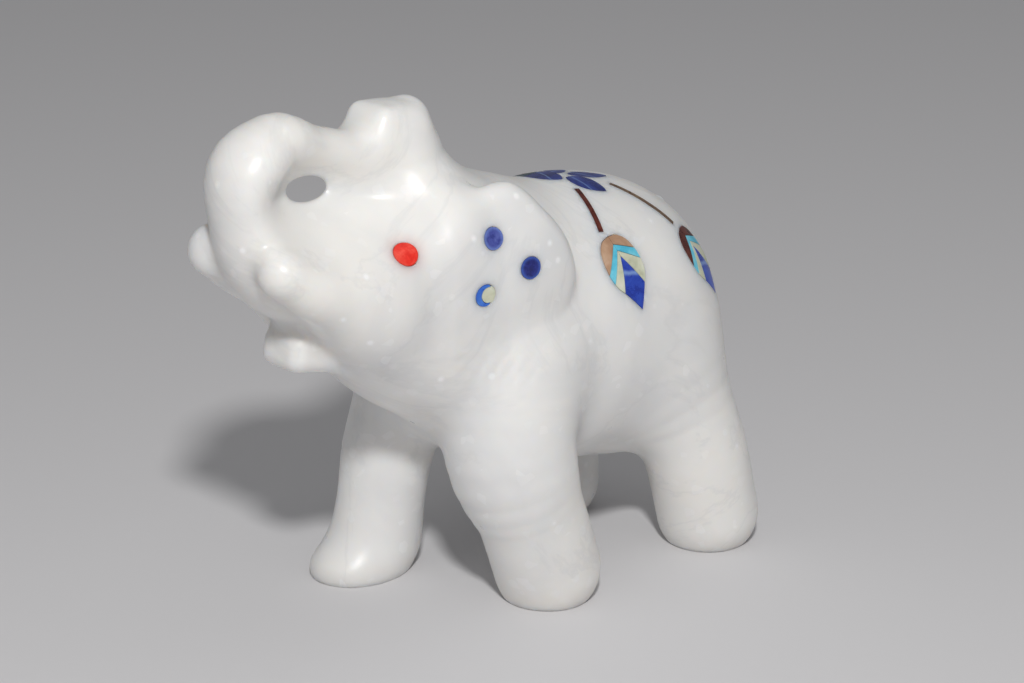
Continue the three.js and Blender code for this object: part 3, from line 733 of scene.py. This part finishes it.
def marble_finish():
    material = bpy.data.materials.new("white_marble")
    material.use_nodes = True
    tree = material.node_tree
    tree.nodes.clear()
    make = Nodes(tree)
    place = make.put("ShaderNodeTexCoord", output="Object")

    def cloud(scale, detail, rough=0.55, twist=0.0):
        return make.put("ShaderNodeTexNoise", {}, {
            "Vector": place, "Scale": scale, "Detail": detail, "Roughness": rough, "Distortion": twist})

    def ramp(value, *stops):
        return make.put("ShaderNodeValToRGB", {"stops": stops}, {"Fac": value})

    def blot(centre, radii):
        """1 in the middle of a place of the part's frame and 0 at its edge."""
        shifted = make.put("ShaderNodeVectorMath", {"operation": "SUBTRACT"},
                           {0: place, 1: tuple(placed(centre))})
        scaled = make.put("ShaderNodeVectorMath", {"operation": "DIVIDE"},
                          {0: shifted, 1: tuple(np.array(radii) * MM)})
        away = make.put("ShaderNodeVectorMath", {"operation": "LENGTH"}, {0: scaled}, "Value")
        return make.put("ShaderNodeMapRange", {"interpolation_type": "SMOOTHSTEP"},
                        {"Value": away, "From Min": 0.0, "From Max": 1.0, "To Min": 1.0, "To Max": 0.0})

    def mixed(factor, one, two):
        return make.put("ShaderNodeMix", {"data_type": "RGBA"}, {0: factor, 6: one, 7: two}, 2)

    clouds = ramp(cloud(55, 4, 0.6, 0.6), (0.3, (0.78, 0.785, 0.79)), (0.62, (0.875, 0.868, 0.85)))
    warm = ramp(cloud(30, 2), (0.45, (0, 0, 0)), (0.75, (0.35, 0.35, 0.35)))
    colour = mixed(warm, clouds, (0.88, 0.85, 0.79, 1))
    wisps = cloud(24, 6, 0.62, 1.8)
    vein = ramp(abs(wisps - 0.5), (0.0, (0.3, 0.3, 0.3)), (0.022, (0, 0, 0)))
    colour = mixed(vein, colour, (0.70, 0.705, 0.71, 1))
    # Painted red glow: the marble round each eye stone is painted red, standing in for light that passes
    # through the stone and spreads.
    for side in (1, -1):
        eye = [EYE[0], EYE[1] * side, EYE[2]]
        glow = blot(eye, (4.2, 4.2, 4.2))
        colour = mixed(glow * glow * 0.6, colour, (0.95, 0.4, 0.3, 1))
    # Painted warm reflection from the floor: the marble is painted darker and warmer towards the floor,
    # mottled.
    feet = make.put("ShaderNodeSeparateXYZ", {}, {0: place}, "Z")
    painted_floor_reflection = make.put("ShaderNodeMapRange", {}, {"Value": feet, "From Min": 0.0, "From Max": 0.0035,
                                                "To Min": 0.45, "To Max": 0.0})
    colour = mixed(painted_floor_reflection * cloud(350, 3), colour, (0.62, 0.53, 0.44, 1))
    # Painted warm shade round the mouth and jaw, where the figure is in shadow.
    painted_mouth_shade = blot((-35.5, 0, 37.6), (8, 8, 3.4))
    colour = mixed(painted_mouth_shade * 0.55, colour, (0.68, 0.57, 0.45, 1))
    matt = blot((-37, 0, 38.6), (8, 7, 3.6))
    for side in (1, -1):
        matt = matt + blot((-19, -11.5 * side, 33), (11, 7, 5)) * 0.8
    smears = cloud(160, 3)
    rough = 0.27 + 0.16 * smears + matt * 0.28
    crystals = make.put("ShaderNodeTexVoronoi", {"feature": "F1"}, {"Vector": place, "Scale": 900.0},
                        "Color")
    facets = make.put("ShaderNodeSeparateColor", {}, {0: crystals}, 0)
    seen = make.put("ShaderNodeMapRange", {}, {"Value": facets, "From Min": 0.93, "From Max": 1.0,
                                                "To Min": 0.0, "To Max": 1.0})
    grain = cloud(1400, 3, 0.7)
    pits = make.put("ShaderNodeBump", {}, {"Strength": 0.35, "Distance": 0.00003,
                                           "Height": grain * (0.35 + matt * 2.5) + seen * 0.5})
    # Painted glints: a few crystal grains are painted lighter, in addition to the bump that tilts them.
    colour = mixed(seen * 0.35, colour, (0.95, 0.95, 0.95, 1))
    # Painted glints: small white spots at a few scattered cells, where the roughness is also lower.
    cells = {"Vector": place, "Scale": 420.0}
    chosen = make.put("ShaderNodeSeparateColor", {}, {
        0: make.put("ShaderNodeTexVoronoi", {"feature": "F1"}, cells, "Color")}, 1)
    off = make.put("ShaderNodeTexVoronoi", {"feature": "F1"}, cells, "Distance")
    spot = make.put("ShaderNodeMapRange", {}, {"Value": off, "From Min": 0.1, "From Max": 0.22,
                                                "To Min": 1.0, "To Max": 0.0})
    few = make.put("ShaderNodeMapRange", {}, {"Value": chosen, "From Min": 0.86, "From Max": 0.9,
                                               "To Min": 0.0, "To Max": 1.0})
    painted_glint = spot * few
    colour = mixed(painted_glint, colour, (1, 1, 1, 1))
    rough = rough * (1.0 - painted_glint * 0.6)
    shader = make.put("ShaderNodeBsdfPrincipled", {"subsurface_method": "RANDOM_WALK"}, {
        "Base Color": colour, "Roughness": rough, "Normal": pits, "IOR": 1.49,
        "Subsurface Weight": 0.8, "Subsurface Radius": (1.0, 0.86, 0.72), "Subsurface Scale": 0.0028,
        "Coat Weight": 0.06, "Coat Roughness": 0.12})
    out = tree.nodes.new("ShaderNodeOutputMaterial")
    tree.links.new(shader.socket, out.inputs["Surface"])
    return material


marble_white = marble_finish()

# %% [markdown]
# ## Coloured stones
# Each stone is a thin slice of a real mineral, so none is one flat colour: lapis is a mosaic of
# dark and light blue grains, turquoise is clouded, shell has faint growth bands. One recipe takes
# a dark, a middle and a light shade and the size of the mottling. A vein is an extra: a pale
# line across the stone at a given distance down its length. So is a rim: a lighter ring from one
# distance to another out of a round stone's middle.

# %% The stone finishes
def stone_finish(name, dark, middle_shade, light, grain=500.0, gloss=0.22, veins=(), glow=0.0, rim=None):
    material = bpy.data.materials.new(name)
    material.use_nodes = True
    tree = material.node_tree
    tree.nodes.clear()
    make = Nodes(tree)
    place = make.put("ShaderNodeTexCoord", output="Object")
    mottle = make.put("ShaderNodeTexNoise", {}, {
        "Vector": place, "Scale": grain, "Detail": 5.0, "Roughness": 0.65, "Distortion": 0.4})
    colour = make.put("ShaderNodeValToRGB", {"stops": (
        (0.3, dark), (0.5, middle_shade), (0.72, light))}, {"Fac": mottle})
    lie = make.put("ShaderNodeAttribute", {"attribute_name": "lie"}, output="Vector")
    across, along = (make.put("ShaderNodeSeparateXYZ", {}, {0: lie}, axis) for axis in ("X", "Y"))
    wobble = make.put("ShaderNodeTexNoise", {}, {"Vector": place, "Scale": 700.0, "Detail": 2.0})
    for far, lean, width, strength, tint in veins:
        line = abs(along - far - across * lean + (wobble - 0.5) * 0.5) / width
        seen = make.put("ShaderNodeMapRange", {"interpolation_type": "SMOOTHSTEP"}, {
            "Value": line, "From Min": 0.0, "From Max": 1.0, "To Min": strength, "To Max": 0.0})
        colour = make.put("ShaderNodeMix", {"data_type": "RGBA"}, {0: seen, 6: colour, 7: (*tint, 1)}, 2)
    if rim:
        start, end, tint = rim
        away = make.put("ShaderNodeVectorMath", {"operation": "LENGTH"}, {0: lie}, "Value")
        edge = make.put("ShaderNodeMapRange", {"interpolation_type": "SMOOTHSTEP"}, {
            "Value": away, "From Min": start, "From Max": end, "To Min": 0.0, "To Max": 0.75})
        colour = make.put("ShaderNodeMix", {"data_type": "RGBA"}, {0: edge, 6: colour, 7: (*tint, 1)}, 2)
    fine = make.put("ShaderNodeTexNoise", {}, {"Vector": place, "Scale": 2500.0, "Detail": 3.0})
    bump = make.put("ShaderNodeBump", {}, {"Strength": 0.2, "Distance": 0.00002, "Height": fine})
    shader = make.put("ShaderNodeBsdfPrincipled", {}, {
        "Base Color": colour, "Roughness": gloss + 0.12 * mottle, "Normal": bump, "IOR": 1.5,
        "Subsurface Weight": glow, "Subsurface Radius": (1.0, 0.6, 0.5), "Subsurface Scale": 0.0008})
    out = tree.nodes.new("ShaderNodeOutputMaterial")
    tree.links.new(shader.socket, out.inputs["Surface"])
    return material


PALE_BLUE = (0.32, 0.5, 0.85)
finishes = {
    "red": stone_finish("red_stone", (0.7, 0.015, 0.008), (0.86, 0.035, 0.02), (0.95, 0.12, 0.08),
                        700, 0.25, glow=0.3),
    "blue": stone_finish("blue_stone", (0.03, 0.04, 0.22), (0.065, 0.085, 0.36), (0.16, 0.2, 0.55), 800,
                         rim=(0.8, 1.3, (0.16, 0.24, 0.6))),
    "bright": stone_finish("bright_blue_stone", (0.015, 0.07, 0.45), (0.03, 0.15, 0.66), (0.1, 0.3, 0.8),
                           700),
    "navy": stone_finish("navy_stone", (0.006, 0.009, 0.1), (0.012, 0.02, 0.2), (0.03, 0.05, 0.34), 700,
                         rim=(0.85, 1.3, (0.05, 0.12, 0.5))),
    "lapis": stone_finish("lapis_stone", (0.014, 0.03, 0.28), (0.025, 0.065, 0.46), (0.06, 0.14, 0.62), 450,
                          veins=((0.4, -0.5, 0.55, 0.6, PALE_BLUE),)),
    "petal": stone_finish("petal_stone", (0.006, 0.012, 0.09), (0.015, 0.03, 0.2), (0.05, 0.09, 0.36), 420,
                          veins=((-1.2, 1.4, 0.3, 0.4, PALE_BLUE),)),
    "teal": stone_finish("teal_stone", (0.004, 0.02, 0.03), (0.008, 0.045, 0.065), (0.02, 0.1, 0.14), 500),
    "turquoise": stone_finish("turquoise_stone", (0.06, 0.42, 0.62), (0.12, 0.58, 0.78), (0.3, 0.75, 0.88),
                              400, 0.3),
    "cream": stone_finish("cream_stone", (0.5, 0.52, 0.38), (0.66, 0.68, 0.52), (0.8, 0.8, 0.68), 350, 0.3,
                          glow=0.2),
    "tan": stone_finish("tan_stone", (0.36, 0.2, 0.12), (0.5, 0.31, 0.2), (0.63, 0.44, 0.31), 300, 0.3),
    "olive": stone_finish("olive_stone", (0.08, 0.04, 0.02), (0.15, 0.085, 0.045), (0.25, 0.17, 0.1), 600),
    "brown": stone_finish("brown_stone", (0.04, 0.006, 0.004), (0.09, 0.014, 0.008), (0.17, 0.04, 0.025),
                          600),
}

# %% [markdown]
# ## Letting in the stones
# A stone stands a hair off its pocket's wall, as the cement line does, and its arris is not quite
# level with the marble. The pockets are cut out of the marble at the end, all in one go.

# %% Setting one group of stones
SEAM = 0.07
DEPTH = 1.3
PROUD = 0.012
# How far a pocket's cutter stands out of the marble, and how finely outlines are divided
OVERCUT = 0.8
STEP = 0.5
LEFT, RIGHT = 1, -1
pockets = []
inlays = []


def inlay(bed, stones, opening, sides=(LEFT, RIGHT)):
    """Several stones, each (node, finish, outline), in one pocket on one side or both."""
    for side in sides:
        word = "left" if side == LEFT else "right"
        for node, finish, outline in stones:
            node = node.replace("SIDE", word)
            piece = wrapped("inlay_" + node, bed, grown(divided(outline, STEP), -SEAM / 2), side, PROUD,
                            DEPTH, finishes[finish])
            inlays.append((piece, node))
        cutter = wrapped("pocket_%02d" % len(pockets), bed, grown(divided(opening, STEP), SEAM / 2), side,
                         OVERCUT, OVERCUT + DEPTH + SEAM)
        pockets.append(cutter)


# %% [markdown]
# The round stones are plain discs. The lowest one on the left ear is worn: only a crescent of
# blue is left, with a pale filling in its mouth.

# %% Eyes and ear dots
def disc(radius, sides=36):
    t = np.arange(sides) / sides * 2 * math.pi
    return radius * np.column_stack([np.cos(t), np.sin(t)])


def arc(radius, first, last, shift, steps):
    t = np.radians(np.linspace(first, last, steps + 1))
    return np.column_stack([shift + radius * np.cos(t), radius * np.sin(t)])


EYE_WIDTH = 3.0
DOT_WIDTH = 2.7
eye_disc, dot_disc = disc(EYE_WIDTH / 2), disc(DOT_WIDTH / 2)
inlay(Bed(EYE, (-32, -10.3, 46.5)), [("eye_SIDE", "red", eye_disc)], eye_disc)
inlay(Bed((-20.8, -12.6, 48), (-20.8, -12.6, 46)), [("ear_dot_upper_SIDE", "blue", dot_disc)], dot_disc)
inlay(Bed((-16.4, -14.2, 43.9), (-16.4, -14.2, 42)), [("ear_dot_rear_SIDE", "navy", dot_disc)], dot_disc)
lower_bed = Bed((-22.3, -12.9, 41.6), (-22.3, -12.9, 40))
inlay(lower_bed, [("ear_dot_lower_SIDE", "blue", dot_disc)], dot_disc, (RIGHT,))
bite = DOT_WIDTH * 0.16
outer = arc(DOT_WIDTH / 2, -112, 112, 0, 22)
inner = arc(DOT_WIDTH * 0.36, 106, -106, -bite, 18)
rest = arc(DOT_WIDTH / 2, 130, 230, 0, 12)
inlay(lower_bed, [
    ("ear_crescent_SIDE", "bright", np.vstack([outer, inner])),
    ("ear_crescent_filling_SIDE", "cream", np.vstack([rest, inner[::-1]])),
], dot_disc, (LEFT,))
print("round stones set:", len(inlays))

# %% [markdown]
# A bud is an oval leaf in nested layers: a brown arch, a turquoise chevron, a cream chevron and a
# blue kite. Each layer but the kite is two strips that meet on the middle line. The oval's rim is
# one smooth curve, and each strip takes its own stretch of it.

# %% Buds
BUD_LENGTH = 9.6
BUD_WIDTH = 5.9
RIM_STEPS = 6
rim_knots = np.array([(0, 0), (0.46, 0.03), (0.8, 0.13), (0.97, 0.28), (1, 0.43), (0.93, 0.56),
                      (0.8, 0.645), (0.62, 0.715), (0, 1)]) * (BUD_WIDTH / 2, BUD_LENGTH)
rim_curve = spline(rim_knots, RIM_STEPS)
tan_top, turquoise_top, cream_top = 0.115 * BUD_LENGTH, 0.205 * BUD_LENGTH, 0.28 * BUD_LENGTH


def rim_part(first, last):
    return rim_curve[first * RIM_STEPS:last * RIM_STEPS + 1]


def flipped(outline):
    return outline * (-1, 1)


def strips(arch_end, turquoise_end):
    """One side's strips, where the arch and the turquoise end at these points of the rim."""
    return (
        ("brown", np.vstack([rim_part(0, arch_end), [(0, tan_top)]])),
        ("turquoise", np.vstack([[(0, tan_top)], rim_part(arch_end, turquoise_end), [(0, turquoise_top)]])),
        ("cream", np.vstack([[(0, turquoise_top)], rim_part(turquoise_end, 7), [(0, cream_top)]])),
    )


front_strips = strips(4, 5)
rear_strips = [(layer, flipped(strip)) for layer, strip in strips(3, 4)]
kite = np.vstack([[(0, cream_top)], rim_part(7, 8), flipped(rim_part(7, 8))[-2::-1]])
whole_bud = np.vstack([rim_part(0, 8), flipped(rim_part(0, 8))[-2:0:-1]])


def bud(name, arch, top, centre, end):
    bed = Bed(centre, end)
    start, stop = bed.flat(top), bed.flat(end)
    lean = math.atan2(stop[0] - start[0], stop[1] - start[1])
    turn = np.array([[math.cos(lean), -math.sin(lean)], [math.sin(lean), math.cos(lean)]])

    def lying(outline):
        return (start + stop) / 2 + (outline - (0, BUD_LENGTH / 2)) @ turn

    stones = [(name + "_kite_SIDE", "lapis", lying(kite))]
    for word, side_strips in (("front", front_strips), ("rear", rear_strips)):
        for layer, strip in side_strips:
            finish = arch if layer == "brown" else layer
            stones.append((name + "_" + layer + "_" + word + "_SIDE", finish, lying(strip)))
    inlay(bed, stones, lying(whole_bud))


bud("flank_bud", "tan", (-0.5, -10.9, 43.5), (-0.2, -13.3, 39.8), (1.2, -15.1, 35.1))
bud("rump_bud", "brown", (12.9, -9.8, 41.5), (14.9, -12.1, 37.5), (17, -13.2, 33.1))


# %% [markdown]
# The stems are thin strips from the flower to the buds, and the petals are pointed leaves that
# fan out from one place on the top of the back.

# %% Stems
STEM_WIDTH = 0.7


def stem(name, finish, bed, stations):
    path = spline([bed.flat(s) for s in stations], 6)
    along = np.gradient(path, axis=0)
    along /= np.linalg.norm(along, axis=1)[:, None]
    aside = np.column_stack([along[:, 1], -along[:, 0]]) * STEM_WIDTH / 2
    strip = np.vstack([path + aside, (path - aside)[::-1]])
    inlay(bed, [(name + "_SIDE", finish, strip)], strip)


stem("flank_stem", "brown", Bed((-0.2, -7.6, 46.4), (-1, -10.3, 44.1)),
     [(0.7, -4.4, 47.8), (-1, -10.3, 44.1)])
stem("rump_stem", "olive", Bed((10, -7.1, 44.6), (12.3, -9.4, 42.1)),
     [(7, -3.8, 47), (9.6, -6.8, 44.9), (11.5, -8.7, 43), (12.3, -9.4, 42.1)])

# %% Petals
PETAL_WIDTH = 3.2


def leaf(first, last, wide, length, steps=24):
    """A stretch of a pointed leaf, from one share of its length to another."""
    t = np.linspace(first, last, steps + 1)
    half = wide / 2 * np.sin(math.pi * t ** 0.85) ** 0.75
    half[(t <= 0) | (t >= 1)] = 0
    right = np.column_stack([half, t * length])
    left = flipped(right)[::-1]
    if last >= 1:
        left = left[1:]
    if first <= 0:
        left = left[:-1]
    return np.vstack([right, left])


def petal(name, base, end, wide, tip_share=0.0):
    bed = Bed([(a + b) / 2 for a, b in zip(base, end)], end)
    root, point = bed.flat(base), bed.flat(end)
    length = point[1] - root[1]

    def lying(outline):
        return outline + root + np.outer(outline[:, 1] / length, (point[0] - root[0], 0))

    stones = [(name, "petal", lying(leaf(0, 1 - tip_share, wide, length)))]
    if tip_share:
        stones.append((name + "_tip", "teal", lying(leaf(1 - tip_share, 1, wide, length))))
    inlay(bed, stones, lying(leaf(0, 1, wide, length)), (LEFT,))


petal("petal_front_right", (0.8, -1.9, 48.5), (-1.4, 4.9, 47.6), PETAL_WIDTH * 1.25, 0.4)
petal("petal_rear_left", (1.7, -1.6, 48.4), (4.8, -5.4, 46.9), PETAL_WIDTH * 1.1)
petal("petal_rear", (2.9, -0.7, 48.3), (9, -1.2, 46.9), PETAL_WIDTH * 0.75)
petal("petal_rear_right", (2, 0.2, 48.5), (5.2, 4.4, 47.1), PETAL_WIDTH * 0.85)
print("stones:", len(inlays), "pockets:", len(pockets))

# %% [markdown]
# ## Cutting the pockets
# The pockets are taken out of the marble with Boolean modifiers. The Manifold solver is made for
# closed meshes like these and is very quick. The new walls meet the skin at a hard edge, which is
# marked sharp so that the polish stays smooth right up to it.

# %% Cutting and shading the marble
def smooth(piece, angle):
    piece.data.polygons.foreach_set("use_smooth", np.ones(len(piece.data.polygons), bool))
    piece.data.set_sharp_from_angle(angle=math.radians(angle))


for cutter in pockets:
    cut = marble.modifiers.new(cutter.name, "BOOLEAN")
    cut.operation = "DIFFERENCE"
    cut.solver = "MANIFOLD"
    cut.object = cutter
carved = bpy.data.meshes.new_from_object(marble.evaluated_get(bpy.context.evaluated_depsgraph_get()))
marble.modifiers.clear()
marble.data = carved
for cutter in pockets:
    bpy.data.objects.remove(cutter)
marble.data.materials.clear()
marble.data.materials.append(marble_white)
smooth(marble, 35)
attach(marble, "root")
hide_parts("marble_elephant")
for piece, node in inlays:
    smooth(piece, 40)
    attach(piece, "root")
    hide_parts(node)
print("marble:", len(carved.polygons), "faces after cutting")

# %% [markdown]
# ## Light, floor and camera
# A pale floor under soft light. The key light stands near the camera, a little to its right and
# higher, so the shadow falls behind the figure to the left.

# %% Floor and light
def floor():
    mesh = bpy.data.meshes.new("floor")
    reach = 1.6
    mesh.from_pydata([(-reach, -reach, 0), (reach, -reach, 0), (reach, reach, 0), (-reach, reach, 0)], [],
                     [(0, 1, 2, 3)])
    ground = bpy.data.objects.new("floor", mesh)
    bpy.context.scene.collection.objects.link(ground)
    material = bpy.data.materials.new("pale_floor")
    material.use_nodes = True
    shader = material.node_tree.nodes["Principled BSDF"]
    shader.inputs["Base Color"].default_value = (0.7, 0.695, 0.71, 1)
    shader.inputs["Roughness"].default_value = 0.9
    mesh.materials.append(material)


def light(name, toward_light, distance, size, power, colour=(1, 1, 1)):
    lamp = bpy.data.lights.new(name, "AREA")
    lamp.shape = "DISK"
    lamp.size = size
    lamp.energy = power
    lamp.color = colour
    holder = bpy.data.objects.new(name, lamp)
    bpy.context.scene.collection.objects.link(holder)
    way = Vector(toward_light).normalized()
    holder.location = way * distance + Vector((0, 0, 0.03))
    holder.rotation_euler = way.to_track_quat("Z", "Y").to_euler()


floor()
light("key", (-0.52, -0.6, 0.68), 0.5, 0.045, 1.6, (1, 0.99, 0.975))
light("overhead", (0.1, -0.1, 1), 0.8, 0.7, 0.6)
world = bpy.data.worlds.new("soft_room")
world.use_nodes = True
world.node_tree.nodes["Background"].inputs["Color"].default_value = (0.96, 0.96, 0.97, 1)
world.node_tree.nodes["Background"].inputs["Strength"].default_value = 0.2
bpy.context.scene.world = world
bpy.context.scene.view_settings.view_transform = "Standard"

# %% Camera
AZIMUTH, ELEVATION = math.radians(-44), math.radians(19)
FOCUS_MM = 112.5
camera_place = (-259.8, -263.1, 154.9)
camera = bpy.data.cameras.new("camera")
camera.lens = FOCUS_MM
camera.clip_start = 0.01
back = Vector((math.sin(AZIMUTH) * math.cos(ELEVATION), -math.cos(AZIMUTH) * math.cos(ELEVATION),
               math.sin(ELEVATION)))
right = Vector((math.cos(AZIMUTH), math.sin(AZIMUTH), 0))
holder = bpy.data.objects.new("camera", camera)
bpy.context.scene.collection.objects.link(holder)
turn = Matrix((right, back.cross(right), back)).transposed()
holder.matrix_world = Matrix.Translation(Vector(placed(camera_place))) @ turn.to_4x4()
bpy.context.scene.camera = holder
